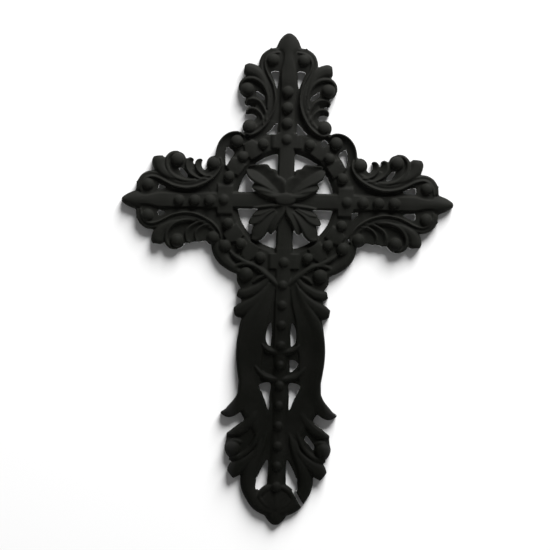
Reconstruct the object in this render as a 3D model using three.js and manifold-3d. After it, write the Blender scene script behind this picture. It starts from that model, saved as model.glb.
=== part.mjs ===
// A cast iron openwork cross, one piece from one mould, flat behind and modelled in relief in front.
// Millimetres, +Z up, the worked face towards -Y, the back in the plane y = 0, the origin at the hub.
import * as THREE from "three";
import { mergeVertices } from "three/addons/utils/BufferGeometryUtils.js";
import Module from "manifold-3d";

const wasm = await Module();
wasm.setup();

// Driving sizes
const ARM_REACH = 143.8;
const LEFT_ARM_REACH = 140.2;
const FOOT_REACH = 277.2;
const LEFT_ARM_DROOP = 0.7;
const SHAFT_LEAN = 0.4;
const BAR_HALF = 7.3;
const BAR_RISE = 9;
const WEB_RISE = 4.4;
const LEAF_RISE = 7.4;
const RING_MEAN = 52.5;
const RING_INNER = 41.2;
const RING_CREST = 45.4;
const RING_OUTER = 58;
const RING_RISE = 6.5;
const RING_BEADS = 16;
const PLATE_RISE = 9.3;
const SHAFT_BEADS = 11;
const SHAFT_BEAD_START = 72;
const SHAFT_BEAD_STEP = 17.2;
const BOSS_RADIUS = 6.5;
const BOSS_TOP = 15.5;
const SLIT_WIDTH = 2.6;
const CUT_DEPTH = 20;
const BEAD_SIDES = 7;
const RING_SIDES = 32;

// Sections across a rib, left edge to right edge: place across the width and share of the height
const ROUND = [[-1, 0.55], [0, 1], [1, 0.55]];
const FLAT = [[-1, 0.7], [-0.75, 1], [0.75, 1], [1, 0.7]];
const ROOF = [[-1, 0.5], [0, 1], [1, 0.5]];
const PLAIN = [[-1, 1], [1, 1]];
const CREST_LEFT = [[-1, 0.6], [-0.6, 1], [1, 0.48]];
const CREST_RIGHT = [[-1, 0.48], [0.6, 1], [1, 0.6]];
const HOLLOW = [[-1, 1], [0, 0.76], [1, 1]];

// Ribs of one limb. A station is [out from the hub, across, left width, right width, height].
// Left and right are as seen when going along the rib with the front towards the eye.
const ARM_MIDDLE = [
  ["finial", ROOF, [[ARM_REACH, 0, 0.4, 0.4, 5], [137, 0, 7, 7, 9], [130, 0, 9.8, 9.8, 10],
    [122, 0, 4.2, 4.2, 10], [112, 0, 7, 7, 9]]],
  ["bar", FLAT, [[116, 0, 5.2, 5.2, 9], [112, 0, BAR_HALF, BAR_HALF, BAR_RISE], [48, 0, BAR_HALF, BAR_HALF, 8.8]]],
];
const ARM_HALF = [
  ["stem", ROUND, [[128.6, 8, 2.6, 2.6, 8.5], [124, 19.8, 3, 3, 9], [111.5, 20.8, 2.8, 3.4, 9.5],
    [99, 14.8, 2.8, 4.2, 10.5], [85.5, 12.4, 2.7, 4.6, 11], [71, 16.9, 2.9, 4.6, 10.5],
    [60.2, 26.2, 3, 3.2, 9.5], [59, 36.2, 2.2, 2.2, 8]]],
  ["hook", ROUND, [[94.5, 41, 1.4, 1.2, 6.5], [103.4, 36.5, 2.2, 1.9, 8.6], [101.6, 24.3, 2.4, 2, 9.8],
    [91.5, 17.6, 2.2, 2, 10], [78.6, 17.2, 1.8, 1.8, 9.2]]],
  ["blunt leaf", ROUND, [[90, 16.8, 1.8, 2, 9], [103.5, 21.6, 4.6, 4.2, 9.6], [111.2, 30.8, 6.4, 5.8, 9.5],
    [112, 38, 4.6, 4.6, 8.2]]],
  ["outer leaflet", CREST_LEFT, [[80.9, 35, 0.8, 0.8, 6], [83.8, 30.3, 4.8, 3, 8.4], [79, 22.6, 3.6, 2.4, 9.3],
    [68, 19.6, 2.4, 2.2, 9]]],
  ["inner leaflet", CREST_LEFT, [[71.6, 35.2, 0.8, 0.8, 6], [74.8, 29.8, 4, 2.6, 8.2], [70, 23.2, 3.2, 2.2, 9],
    [65, 22.6, 2.6, 2.2, 9]]],
];
const UPPER_CORNER = [
  ["ribbon", CREST_LEFT, [[26.5, 57.4, 3, 4.4, 8.5], [40.5, 57.4, 3.2, 5.2, 8.8], [51, 53, 3.2, 5.2, 9],
    [55.9, 44.5, 3, 4.4, 9], [53.6, 36.6, 2.6, 3.4, 9]]],
];
const HUB_LEAVES = [
  ["upper leaf", HOLLOW, [[3, 3.5, 6, 3, 12.5], [11.7, 12, 12.6, 10.8, 13.6], [18, 19, 9.8, 10.6, 13.6],
    [24.8, 26.2, 8, 7.6, 12.6], [28.9, 31.6, 0.6, 0.6, 9.6]]],
  ["bow", ROUND, [[9.5, 27.5, 1.2, 1.2, 10.5], [3.9, 14, 2.6, 2.6, 13.4], [3.4, 0, 2.8, 2.8, 14]]],
  ["sepal", ROUND, [[-5.8, 22, 1, 1, 10], [-3.6, 9, 2, 2, 12], [-3.2, 0, 2, 2, 12]]],
  ["lower leaf", HOLLOW, [[-7, 3, 5, 3, 12], [-12.5, 13.4, 14, 6.5, 13.2], [-18.9, 22, 12, 8.3, 13],
    [-24.6, 28.4, 7.4, 6.5, 12.2], [-31.4, 34, 0.6, 0.6, 9.6]]],
];
const SHAFT_MIDDLE = [
  ["bar", FLAT, [[44, 0, BAR_HALF, BAR_HALF, 8.8], [246, 0, 7.1, 7.1, 8.6]]],
  ["foot tip", ROOF, [[246, 0, 9, 9, 7], [252, 0, 14, 14, 7.6], [259, 0, 15, 15, 8.2], [266, 0, 11.8, 11.8, 8.6],
    [FOOT_REACH, 0, 1.2, 1.2, 5.5]]],
];
const SHAFT_HALF = [
  ["loop", ROUND, [[34, 57, 5.4, 5.6, 7.6], [50, 51.4, 6, 6, 8], [60, 39.4, 4.6, 4, 8]]],
  ["loop lip", ROUND, [[44, 46, 1.8, 1.8, 7.6], [54, 30, 2.4, 2.4, 9.6]]],
  ["crown arc", ROUND, [[60.5, 42.5, 1.8, 1.8, 7.6], [54.6, 33, 2.4, 2.6, 9.4], [57.8, 21.3, 2.8, 2.8, 10.5],
    [71.5, 5, 2.6, 2.6, 9]]],
  ["crown curl", ROUND, [[70.5, 25.5, 1.6, 1.6, 8], [64, 16.6, 2.4, 2.4, 10]]],
  ["crown leaf", CREST_RIGHT, [[78.6, 38.4, 3.8, 2.4, 7.2], [78.8, 29.6, 5.2, 4, 9.2], [67, 13, 3, 3, 9.5]]],
  ["crown leaf", CREST_RIGHT, [[95.2, 41, 3.6, 3.2, 7.4], [91.6, 32.2, 6.6, 5.2, 9.2], [76, 14, 3.2, 3.2, 9.5]]],
  ["long leaf edge", CREST_LEFT, [[76, 13.5, 2.4, 2.8, 9.5], [93, 22, 4.2, 4, 9.6], [111, 31, 5, 6, 9.6],
    [133, 33.4, 4.8, 7, 9.6], [156, 30.4, 4.8, 7, 9.6], [172, 34, 4.8, 6.5, 9.6], [181.6, 44, 3.6, 4.6, 8.8],
    [182.4, 49.6, 0.9, 0.9, 6.5]]],
  ["long leaf body", ROUND, [[78, 10.5, 2.5, 2.5, 8.8], [100, 18, 4.5, 4.2, 9.4], [123, 22, 7, 6, 9.4],
    [148.6, 21.9, 6.5, 4.6, 9], [187, 13.6, 5, 4, 8.4]]],
  ["low leaf", CREST_LEFT, [[180, 19, 4, 5, 8.6], [193.6, 29.4, 4.4, 5.4, 9], [200.6, 44, 1, 2.2, 6.8]]],
  ["low hook", ROUND, [[196, 16, 2.8, 2.8, 8.6], [211, 22.6, 2.6, 3, 9], [219.6, 34.5, 2.6, 4.4, 8.6],
    [219, 41, 2.6, 3.8, 7.6]]],
  ["hook lid", ROUND, [[207.5, 31.5, 2, 2.2, 7.6], [205.6, 36, 2.6, 2.4, 8.6], [206.6, 41, 2.2, 2.2, 7.6]]],
  ["third leaf", CREST_LEFT, [[205, 14.5, 2.6, 2.6, 8.6], [221, 23.6, 4.4, 3.6, 9], [231.5, 36, 7.6, 5.4, 8.8],
    [234.6, 40, 4.6, 4.6, 8]]],
  ["foot frame", ROUND, [[206, 12, 4, 4, 8.6], [222, 18.6, 4.6, 5, 8.8], [238, 24.4, 6.8, 6.8, 9],
    [253, 20.4, 6, 6.6, 8.8], [265, 2, 5, 5, 8.2]]],
  ["petal", ROUND, [[242, 1, 2.6, 3.4, 10], [246.6, 11, 3.4, 3.6, 10], [251.5, 14.6, 2.8, 2.8, 9]]],
];

// Beads: [out from the hub, across, radius, top]
const ARM_MIDDLE_BEADS = [[93.2, 0, 5.5, 13.6], [79.6, 0, 5.5, 13.6], [66.3, 0, 5.5, 13.6]];
const ARM_HALF_BEADS = [[121, 13, 5.9, 12.2], [94.6, 34.8, 6.5, 12.4], [62.9, 31.6, 6, 12]];
const UPPER_CORNER_BEADS = [[50.4, 42.4, 5.4, 12]];
const SHAFT_HALF_BEADS = [[39.6, 50.4, 5.3, 11.8], [63.2, 31.6, 6.3, 12.4], [212.4, 38.4, 6.8, 11.6]];

// Webs fill the hollows between the ribs: half outlines [out from the hub, across] with their openings
const ARM_WEB = [
  [[125, 0], [128, 14], [121, 20], [108, 22], [104, 36], [92, 40], [84, 33], [80, 30], [74, 33], [68, 30],
    [60, 34], [52, 30], [46, 0]],
  [[112.4, 6], [111.6, 16.5], [104, 13.8], [96.9, 10.6], [96.2, 5]],
  [[67, 6], [57, 3], [57.6, 18.5], [62, 13]],
  [[86.2, 19.6], [89, 20], [92.6, 24.2], [93.6, 27.4], [90.6, 26.6], [86.4, 22]],
];
const CORNER_WEB = [
  [[44, 20], [54, 20], [56, 42], [54, 56], [20, 56], [20, 42]],
  [[45.2, 50.6], [40.6, 44.6], [29.4, 51.2], [34.4, 54.2], [40.2, 53.6]],
  [[50.8, 33.4], [49, 31], [46.6, 32.9], [48.4, 35.2]],
];
const CROWN_WEB = [
  [[48, 0], [44, 40], [60, 40], [66, 36], [98, 36], [94, 0]],
  [[51.4, 32.4], [49, 38], [46.6, 39.4], [46.6, 37], [49.6, 32.4]],
];
const LEAF_WEB = [
  [[88, 0], [84, 23], [105, 33], [130, 37], [156, 34], [180, 35], [187, 26], [196, 28], [224, 22], [220, 0]],
  [[103, 6], [108, 11.6], [115, 12.9], [121, 12.2], [125, 5]],
  [[134.2, 3], [134.8, 13], [136.4, 16.6], [141.5, 16.6], [145.6, 13.4], [148, 4]],
  [[155, 5], [155.6, 13.2], [157.2, 17.4], [171, 12], [180, 6]],
];
const HOOK_WEB = [[[202, 30], [202, 42], [208, 45], [219, 41], [221, 34], [213, 31], [207, 27]]];
const SLIT = { from: [246.5, 15], to: [268.5, 27.9] };

// A limb's own frame: out from the hub, across, and up from the back towards the front
function limb(degrees, side = 1, stretch = 1) {
  const angle = THREE.MathUtils.degToRad(degrees);
  const out = new THREE.Vector3(Math.sin(angle), 0, Math.cos(angle)).multiplyScalar(stretch);
  const across = new THREE.Vector3(Math.cos(angle), 0, -Math.sin(angle)).multiplyScalar(side);
  return new THREE.Matrix4().makeBasis(out, across, new THREE.Vector3(0, -1, 0));
}

// Turns a closed surface into a solid in its place, its faces outwards also where the frame mirrors it
function solid(surface, frame) {
  const bare = surface.clone().applyMatrix4(frame);
  bare.deleteAttribute("normal");
  bare.deleteAttribute("uv");
  const shell = mergeVertices(bare, 1e-4);
  const corners = Uint32Array.from(shell.index.array);
  if (frame.determinant() < 0) {
    for (let i = 0; i < corners.length; i += 3) {
      [corners[i], corners[i + 1]] = [corners[i + 1], corners[i]];
    }
  }
  const points = Float32Array.from(shell.attributes.position.array);
  return new wasm.Manifold(new wasm.Mesh({ numProp: 3, vertProperties: points, triVerts: corners }));
}

// A rib follows a curve through its stations, from the flat back up to its section
function rib(section, stations) {
  const spans = stations.length - 1;
  const path = new THREE.CatmullRomCurve3(stations.map(([out, across]) => new THREE.Vector3(out, across, 0)));
  const body = new THREE.BoxGeometry(1, 1, 1, section.length - 1, 1, spans);
  const place = body.attributes.position;
  for (let i = 0; i < place.count; i += 1) {
    const [edge, share] = section[Math.round((0.5 - place.getX(i)) * (section.length - 1))];
    const travel = place.getZ(i) + 0.5;
    const before = Math.min(Math.floor(travel * spans + 1e-6), spans - 1);
    const blend = (slot) => THREE.MathUtils.lerp(
      stations[before][slot], stations[before + 1][slot], travel * spans - before);
    const centre = path.getPoint(travel);
    const heading = path.getTangent(travel);
    const reach = edge < 0 ? -edge * blend(2) : -edge * blend(3);
    const height = place.getY(i) > 0 ? share * blend(4) : 0;
    place.setXYZ(i, centre.x - heading.y * reach, centre.y + heading.x * reach, height);
  }
  return body;
}

// A bead is a low dome that goes down to the back
function bead(radius, top) {
  const spring = top - radius;
  const outline = [[0, 0], [radius, 0], [radius, spring], [radius * 0.72, top - radius * 0.28], [0, top]];
  const dome = new THREE.LatheGeometry(outline.map(([r, h]) => new THREE.Vector2(r, h)), BEAD_SIDES);
  return dome.rotateX(Math.PI / 2);
}

// A plate with straight sides, from its outline and the outlines of its openings
function plate([outline, ...openings], rise) {
  const wound = (points, clockwise) => {
    const corners = points.map(([out, across]) => new THREE.Vector2(out, across));
    return THREE.ShapeUtils.isClockWise(corners) === clockwise ? corners : corners.reverse();
  };
  const shape = new THREE.Shape(wound(outline, false));
  shape.holes = openings.map((opening) => new THREE.Path(wound(opening, true)));
  return new THREE.ExtrudeGeometry(shape, { depth: rise, bevelEnabled: false });
}

// Both halves of a web that meet on the limb's centre line
function mirrored([outline, ...openings]) {
  const other = (points) => points.map(([out, across]) => [out, -across]).reverse();
  return [[...outline, ...other(outline.slice(1, -1))], ...openings, ...openings.map(other)];
}

const joined = [];
const lay = (ribs, frame) => ribs.forEach(([, section, stations]) => joined.push(solid(rib(section, stations), frame)));
const stud = (beads, frame) => beads.forEach(([out, across, radius, top]) => {
  joined.push(solid(bead(radius, top).translate(out, across, 0), frame));
});
const fill = (web, rise, frame) => joined.push(solid(plate(web, rise), frame));

// Three arms from one pattern
const arms = [[0, 1], [90, 1], [270 - LEFT_ARM_DROOP, LEFT_ARM_REACH / ARM_REACH]];
for (const [degrees, stretch] of arms) {
  lay(ARM_MIDDLE, limb(degrees, 1, stretch));
  stud(ARM_MIDDLE_BEADS, limb(degrees, 1, stretch));
  fill(mirrored(ARM_WEB), WEB_RISE, limb(degrees, 1, stretch));
  for (const side of [1, -1]) {
    const half = limb(degrees, side, stretch);
    lay(ARM_HALF, half);
    stud(ARM_HALF_BEADS, half);
  }
}

// Upper corners and the leaves at the crossing
for (const side of [1, -1]) {
  const upright = limb(0, side);
  lay(UPPER_CORNER, upright);
  stud(UPPER_CORNER_BEADS, upright);
  fill(CORNER_WEB, WEB_RISE, upright);
  lay(HUB_LEAVES, upright);
}

// Shaft and foot
const down = limb(180 + SHAFT_LEAN);
lay(SHAFT_MIDDLE, down);
fill(mirrored(CROWN_WEB), WEB_RISE, down);
fill(mirrored(LEAF_WEB), LEAF_RISE, down);
stud(Array.from({ length: SHAFT_BEADS }, (_, n) => [SHAFT_BEAD_START + SHAFT_BEAD_STEP * n, 0, 4.9, 12.4]), down);
for (const side of [1, -1]) {
  const half = limb(180 + SHAFT_LEAN, side);
  lay(SHAFT_HALF, half);
  stud(SHAFT_HALF_BEADS, half);
  fill(HOOK_WEB, WEB_RISE, half);
}

// Ring, its raised plates and beads, and the bars that cross inside it
const ringOutline = [[RING_INNER, 0], [RING_OUTER, 0], [RING_OUTER, RING_RISE], [RING_CREST, RING_RISE],
  [RING_INNER, 2.4], [RING_INNER, 0]];
const ringPoints = ringOutline.map(([r, h]) => new THREE.Vector2(r, h));
const ring = new THREE.LatheGeometry(ringPoints, RING_SIDES).rotateX(Math.PI / 2);
joined.push(solid(ring, limb(0)));
for (let n = 0; n < RING_BEADS; n += 1) {
  const turn = (360 / RING_BEADS) * n;
  stud([[RING_MEAN, 0, 4.9, 12.8]], limb(turn));
  if (n % 4 === 0) {
    lay([["square plate", FLAT, [[45, 0, 14.6, 14.6, PLATE_RISE], [58, 0, 14.6, 14.6, PLATE_RISE]]]], limb(turn));
  } else if (n % 4 !== 3) {
    lay([["plate", FLAT, [[45, 0, 6.9, 6.9, PLATE_RISE], [56, 0, 6.9, 6.9, PLATE_RISE],
      [60, 0, 4.6, 4.6, PLATE_RISE]]]], limb(turn + 180 / RING_BEADS));
  }
}
for (const turn of [0, 90]) {
  lay([["inner bar", FLAT, [[-50, 0, 7.2, 7.2, 8.6], [50, 0, 7.2, 7.2, 8.6]]]], limb(turn));
}
stud([[0, 0, BOSS_RADIUS, BOSS_TOP]], limb(0));

// The foot's frame is split on the right by a narrow slit
const slitFrom = new THREE.Vector2(...SLIT.from);
const slitTo = new THREE.Vector2(...SLIT.to);
const aside = slitTo.clone().sub(slitFrom).normalize().rotateAround(new THREE.Vector2(), Math.PI / 2);
const slitCorners = [[slitFrom, 1], [slitTo, 1], [slitTo, -1], [slitFrom, -1]].map(([end, side]) => (
  end.clone().addScaledVector(aside, side * SLIT_WIDTH / 2).toArray()));
const slit = plate([slitCorners], CUT_DEPTH).translate(0, 0, -1);

let casting = joined.reduce((whole, piece) => whole.add(piece));
casting = casting.subtract(solid(slit, limb(180 + SHAFT_LEAN, -1)));
casting = casting.asOriginal().simplify();

// Back to a surface
const faces = casting.getMesh();
const geometry = new THREE.BufferGeometry();
geometry.setAttribute("position", new THREE.BufferAttribute(Float32Array.from(faces.vertProperties), 3));
geometry.setIndex(new THREE.BufferAttribute(Uint32Array.from(faces.triVerts), 1));
geometry.computeVertexNormals();

const iron = new THREE.MeshStandardMaterial({ color: 0x211d1a, roughness: 0.62, metalness: 0.55 });
iron.name = "cast_iron";
const cross = new THREE.Mesh(geometry, iron);
cross.name = "cross_casting";
const part = new THREE.Group();
part.name = "openwork_cross";
part.add(cross);

export default part;
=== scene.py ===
import bisect
import math

import bmesh
import bpy
from mathutils import Matrix, Vector


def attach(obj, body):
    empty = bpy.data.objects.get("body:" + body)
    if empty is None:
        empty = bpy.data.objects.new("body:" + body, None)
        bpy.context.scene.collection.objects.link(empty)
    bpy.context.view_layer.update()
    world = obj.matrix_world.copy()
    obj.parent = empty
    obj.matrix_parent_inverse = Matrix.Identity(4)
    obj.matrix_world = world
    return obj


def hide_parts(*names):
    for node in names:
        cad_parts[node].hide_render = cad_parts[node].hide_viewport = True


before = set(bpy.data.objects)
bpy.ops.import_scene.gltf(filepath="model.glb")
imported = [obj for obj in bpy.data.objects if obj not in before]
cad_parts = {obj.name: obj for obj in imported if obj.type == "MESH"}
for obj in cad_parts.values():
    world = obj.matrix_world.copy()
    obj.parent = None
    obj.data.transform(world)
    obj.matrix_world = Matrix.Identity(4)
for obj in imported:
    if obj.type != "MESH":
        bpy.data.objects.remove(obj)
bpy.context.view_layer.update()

# The three arms: each is a flat bar that ends in a spear-headed finial, with a row of round beads
# along it. The whole cross is one grey iron casting from an open sand mould, flat behind, so every
# part is laid on the same back and they run together.

# sizes are millimetres: out from the crossing, across, and up from the back.
ARM_REACH = 143.7
LEFT_ARM_SHARE = 140.0 / 143.8
LEFT_ARM_DROOP = 0.7
MILLIMETRE = 0.001

casting = bmesh.new()


def join(body, part):
    """Adds a finished part to the body that it belongs to."""
    held = bpy.data.meshes.new("part")
    part.to_mesh(held)
    part.free()
    body.from_mesh(held)
    bpy.data.meshes.remove(held)


# Sections across a strip: place from its left edge (-1) to its right edge (1), share of its height
FLAT = [(-1, 0.62), (-0.82, 0.96), (-0.6, 1), (0.6, 1), (0.82, 0.96), (1, 0.62)]
RIDGED = [(-1, 0.45), (-0.8, 0.66), (0, 1), (0.8, 0.66), (1, 0.45)]
BED = [(-1, 1), (1, 1)]
STEP_ALONG, FEWEST_STEPS = 0.9, 6
COLUMNS_A_SPAN = 4
NARROWEST = 0.15


def limb(degrees, side=1, stretch=1):
    """A limb's own frame: out from the crossing, across, and up from the back, as metres."""
    angle = math.radians(degrees)
    out = Vector((math.sin(angle), 0, math.cos(angle))) * stretch
    across = Vector((math.cos(angle), 0, -math.sin(angle))) * side
    place = Matrix((out, across, Vector((0, -1, 0)))).transposed().to_4x4()
    return Matrix.Scale(MILLIMETRE, 4) @ place


def smooth_through(knots, rows, places):
    """Values at the given places of a smooth curve that passes through the rows at their knots."""
    last = len(knots) - 1
    slopes = []
    for i in range(last + 1):
        before, after = max(i - 1, 0), min(i + 1, last)
        if 0 < i < last:
            ahead, behind = knots[after] - knots[i], knots[i] - knots[before]
            slopes.append([
                ((further - here) / ahead * behind + (here - nearer) / behind * ahead)
                / (ahead + behind)
                for nearer, here, further in zip(rows[before], rows[i], rows[after])
            ])
        else:
            slopes.append([
                (further - nearer) / (knots[after] - knots[before])
                for nearer, further in zip(rows[before], rows[after])
            ])
    found = []
    for place in places:
        i = min(max(bisect.bisect_right(knots, place) - 1, 0), last - 1)
        span = knots[i + 1] - knots[i]
        t = (place - knots[i]) / span
        start, start_slope = (1 + 2 * t) * (1 - t) ** 2, t * (1 - t) ** 2 * span
        end, end_slope = t * t * (3 - 2 * t), t * t * (t - 1) * span
        found.append([
            start * p + start_slope * m + end * q + end_slope * n
            for p, m, q, n in zip(rows[i], slopes[i], rows[i + 1], slopes[i + 1])
        ])
    return found


def distances(points):
    """How far along the line each of its points lies."""
    along = [0]
    for a, b in zip(points, points[1:]):
        along.append(along[-1] + math.hypot(b[0] - a[0], b[1] - a[1]))
    return along


def even(count):
    """Even places from 0 to 1."""
    return [n / count for n in range(count + 1)]


def strip(section, stations, place):
    """A raised strip on a smooth line, closed down to the flat back.
    A station is out, across, width to the left, width to the right, height."""
    knots = distances(stations)
    steps = max(FEWEST_STEPS, round(knots[-1] / STEP_ALONG))
    line = smooth_through(knots, stations, [knots[-1] * t for t in even(steps)])
    profile = section
    if section is not BED:
        places = [2 * t - 1 for t in even(COLUMNS_A_SPAN * (len(section) - 1))]
        shares = smooth_through([x for x, share in section], [row[1:] for row in section], places)
        profile = [(x, share[0]) for x, share in zip(places, shares)]
    columns = len(profile) - 1
    piece = bmesh.new()
    bmesh.ops.create_grid(piece, x_segments=steps, y_segments=columns, size=0.5)
    for vert in piece.verts:
        i = round((vert.co.x + 0.5) * steps)
        x, share = profile[round((vert.co.y + 0.5) * columns)]
        ahead, behind = line[min(i + 1, steps)], line[max(i - 1, 0)]
        heading = Vector((ahead[0] - behind[0], ahead[1] - behind[1])).normalized()
        out, across, to_left, to_right, height = line[i]
        width = max(to_left if x < 0 else to_right, NARROWEST) * -x
        spot = (out - heading.y * width, across + heading.x * width, height * share)
        vert.co = place @ Vector(spot)
    grown = bmesh.ops.extrude_face_region(piece, geom=piece.faces[:], use_keep_orig=True)
    for item in grown["geom"]:
        if isinstance(item, bmesh.types.BMVert):
            item.co.y = 0
    bmesh.ops.recalc_face_normals(piece, faces=piece.faces)
    join(casting, piece)


BEAD_SIDES, BEAD_ROWS = 24, 16
STEM_FLARE = 1.04


def bead(out, across, radius, top, place, flat):
    """A ball, pressed flat by a share of its height, cast on a short round stem."""
    depth = top - radius * flat
    spot = place @ Matrix.Translation((out, across, depth))
    piece = bmesh.new()
    bmesh.ops.create_uvsphere(
        piece, u_segments=BEAD_SIDES, v_segments=BEAD_ROWS, radius=radius,
        matrix=spot @ Matrix.Diagonal((1, 1, flat, 1)))
    bmesh.ops.create_cone(
        piece, cap_ends=True, segments=BEAD_SIDES, radius1=radius * STEM_FLARE, radius2=radius,
        depth=depth, matrix=spot @ Matrix.Translation((0, 0, -depth / 2)))
    join(casting, piece)


ARM_BAR = [(127, 0, 4.6, 4.6, 9.0), (121, 0, 4.6, 4.6, 9.4), (116.5, 0, 5.6, 5.6, 9.3),
           (112, 0, 6.8, 6.8, 9.1), (101, 0, 7.0, 7.0, 8.9), (97, 0, 7.0, 7.0, 8.2),
           (63, 0, 7.2, 7.2, 8.2), (58, 0, 7.2, 7.2, 8.8), (50, 0, 7.4, 7.4, 8.8)]
ARM_BAR_BED = [(112, 0, 8.2, 8.2, 5), (50, 0, 8.2, 8.2, 5)]
TOP_FINIAL = [(ARM_REACH, 0, 2.2, 2.2, 6.4), (142, 0, 4.6, 4.6, 7.6), (138.4, 0, 7.6, 7.6, 8.6),
              (134, 0, 9.6, 9.6, 9.4), (130, 0, 10.6, 10.6, 9.6), (127.5, 0, 8.8, 8.8, 9.6),
              (124, 0, 5.4, 5.4, 9.8), (120, 0, 4.4, 4.4, 9.2), (115, 0, 4.4, 4.4, 8.4)]
SIDE_FINIAL = [(ARM_REACH, 0, 1.8, 1.8, 6.4), (142, 0, 3.2, 3.2, 7.6), (138.4, 0, 5.4, 5.4, 8.6),
               (134, 0, 7.2, 7.2, 9.4), (130, 0, 8.4, 8.4, 9.6), (127, 0, 7.8, 7.8, 9.6),
               (124, 0, 5.4, 5.4, 9.8), (120, 0, 4.4, 4.4, 9.2), (115, 0, 4.4, 4.4, 8.4)]
ARM_BEADS = [93.2, 79.6, 66.3]
ARM_BEAD_RADIUS, ARM_BEAD_TOP, ARM_BEAD_FLAT = 4.6, 12.2, 0.75

TOP_ARM, RIGHT_ARM, LEFT_ARM = (0, 1), (90, 1), (270 - LEFT_ARM_DROOP, LEFT_ARM_SHARE)
arms = [TOP_ARM, RIGHT_ARM, LEFT_ARM]
for degrees, stretch in arms:
    arm = limb(degrees, 1, stretch)
    strip(FLAT, ARM_BAR, arm)
    strip(BED, ARM_BAR_BED, arm)
    strip(RIDGED, TOP_FINIAL if degrees == 0 else SIDE_FINIAL, arm)
    for out in ARM_BEADS:
        bead(out, 0, ARM_BEAD_RADIUS, ARM_BEAD_TOP, arm, ARM_BEAD_FLAT)

# Scrollwork beside each arm: a fluted stem that swings round from the finial to the ring, a hooked
# tendril with a bead in its eye, a blunt leaf, two pointed leaflets and beads, all modelled in the
# pattern and cast with the bar. Thin sunk beds tie them together behind.
ROUNDED = [(-1, 0.42), (-0.85, 0.68), (-0.55, 0.90), (0, 1), (0.55, 0.90), (0.85, 0.68), (1, 0.42)]
CREST_LEFT = [(-1, 0.55), (-0.85, 0.9), (-0.65, 1), (-0.4, 0.88), (0, 0.68), (0.5, 0.56),
              (1, 0.42)]
FLUTED = [(-1, 0.55), (-0.88, 0.92), (-0.7, 1), (-0.45, 0.93), (-0.2, 0.80), (0, 0.76),
          (0.25, 0.80), (0.45, 0.84), (0.65, 0.78), (1, 0.5)]

STEM = [(128.6, 8, 2.6, 2.6, 8.5), (127.6, 14.6, 2.9, 2.9, 9), (124.0, 19.8, 3.0, 3.0, 9),
        (118.3, 22.0, 3.0, 3.2, 9), (111.5, 20.8, 2.8, 3.4, 9.5), (105, 17.8, 2.8, 3.8, 10),
        (99, 14.8, 2.8, 4.2, 10.5), (92, 12.9, 2.7, 4.4, 11), (85.5, 12.4, 2.7, 4.6, 11),
        (78, 13.8, 2.8, 4.6, 11), (71, 16.9, 2.9, 4.6, 10.5), (64.5, 21.2, 3.0, 4.2, 10),
        (60.2, 26.2, 3.0, 3.2, 9.5), (58.0, 31.4, 2.8, 2.6, 9), (59.0, 36.2, 2.2, 2.2, 8)]
TENDRIL = [(94.5, 41.0, 1.4, 1.2, 6.5), (99.5, 40.2, 1.8, 1.6, 7.5), (103.4, 36.5, 2.2, 1.9, 8.6),
           (104.2, 30.5, 2.4, 2.0, 9.3), (101.6, 24.3, 2.4, 2.0, 9.8), (97, 20, 2.4, 2.0, 10),
           (91.5, 17.6, 2.2, 2.0, 10), (85.4, 16.6, 2.0, 2.0, 9.8), (78.6, 17.2, 1.8, 1.8, 9.2)]
BLUNT_LEAF = [(90, 16.8, 1.8, 2.0, 9), (97, 18.8, 3.0, 3.0, 9.5), (103.5, 21.6, 4.6, 4.2, 9.6),
              (108.6, 25.6, 6.0, 5.2, 9.6), (111.2, 30.8, 6.4, 5.8, 9.5),
              (111.9, 35.2, 6.0, 5.6, 9.2), (112.2, 37.8, 3.8, 4.0, 8.0)]
OUTER_LEAFLET = [(80.9, 35.0, 0.8, 0.8, 6), (83.0, 34.2, 3.4, 2.2, 7.2),
                 (83.8, 30.3, 4.8, 3.0, 8.4), (82.6, 26.0, 4.4, 2.8, 9), (79, 22.6, 3.6, 2.4, 9.3),
                 (74, 20.2, 3.0, 2.2, 9.3), (68, 19.6, 2.4, 2.2, 9)]
INNER_LEAFLET = [(73.4, 35.0, 0.8, 0.8, 6), (75.4, 33.4, 3.0, 1.8, 7.2),
                 (76.2, 29.8, 3.8, 2.2, 8.2), (74.4, 26.0, 3.6, 2.2, 8.8),
                 (70.5, 23.2, 3.2, 2.2, 9), (65, 22.4, 2.6, 2.0, 9)]
GROOVE_BED = [(97, 9.6, 3.6, 3.6, 5.2), (78, 11, 4.5, 5, 5.2), (67, 12.5, 6, 6, 5.2)]
SCROLL_BED = [(100, 17, 2.4, 3, 6.2), (92, 18.0, 5, 2.6, 6.2), (84, 20, 6, 4.6, 6.2),
              (77, 22, 6, 6, 6.2), (71, 22.6, 5, 3.2, 6.2), (66, 26, 5, 3.4, 6.2),
              (62, 31, 4, 4, 6.2)]
UNDER_BED = [(60, 30, 4, 5, 6), (70, 30.6, 4, 5, 6), (80, 31.6, 4, 4.6, 6), (90, 33, 4, 4, 6)]
TENDRIL_BED = [(91.0, 37.0, 5.0, 5.4, 6), (92.5, 32.5, 8.6, 6.4, 6), (94.4, 27.5, 8.6, 9.8, 6),
               (95.0, 22.4, 6.2, 9.8, 6), (94.0, 17.6, 4.4, 6.4, 6)]
SHOULDER_BED = [(128, 8.6, 9, 7.4, 7.4), (120.0, 12, 11, 9, 7.2), (110.2, 13.2, 7.6, 7.0, 6.4),
                (98, 12, 5, 4, 6.0), (88, 12, 5, 4, 5.2)]
ARM_ROOT_BED = [(66, 22, 5, 7, 5.6), (60, 18, 12, 17, 5.6), (53, 16, 12, 14, 5.6)]
SCROLL_BEADS = [(120.6, 13.2, 5.2, 11.0), (94.8, 34.6, 5.5, 11.6), (62.9, 31.6, 5.2, 11.0)]
SCROLL_BEAD_FLAT = 0.8
SEAT_MARGIN, SEAT_RISE, SEAT_FLAT = 1.4, 7.4, 0.3

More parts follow.
